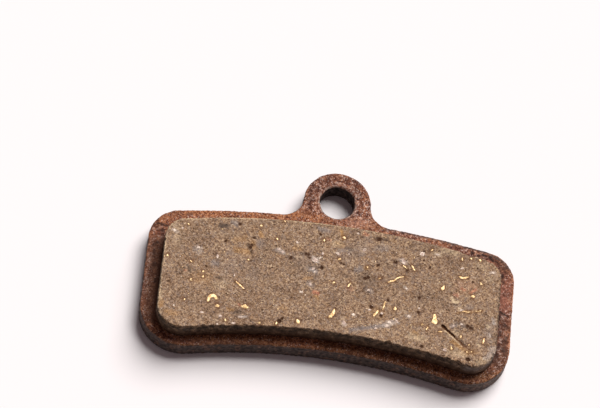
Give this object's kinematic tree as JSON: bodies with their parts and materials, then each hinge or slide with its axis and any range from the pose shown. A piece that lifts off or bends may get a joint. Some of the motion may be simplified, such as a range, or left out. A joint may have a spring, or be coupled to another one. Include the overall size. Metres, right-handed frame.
{
  "type": "bicycle disc brake pad",
  "caption": "Arched steel backing plate with a holed ear for the retaining pin and a bonded friction block worn flat, for a bicycle disc brake caliper.",
  "frame": {"origin": "under the middle of the pad's overall box, on the back face", "axes": "+X along the pad, +Y towards the ear, +Z out of the worn face"},
  "size_m": [0.0358, 0.021, 0.0039],
  "materials": {
    "rusted_steel": "bare, rusted brown all over",
    "friction_compound": "worn flat, grainy and pitted, with brass chips"
  },
  "bodies": {
    "root": {"backing_plate": "rusted_steel", "friction_block": "friction_compound"}
  },
  "joints": []
}
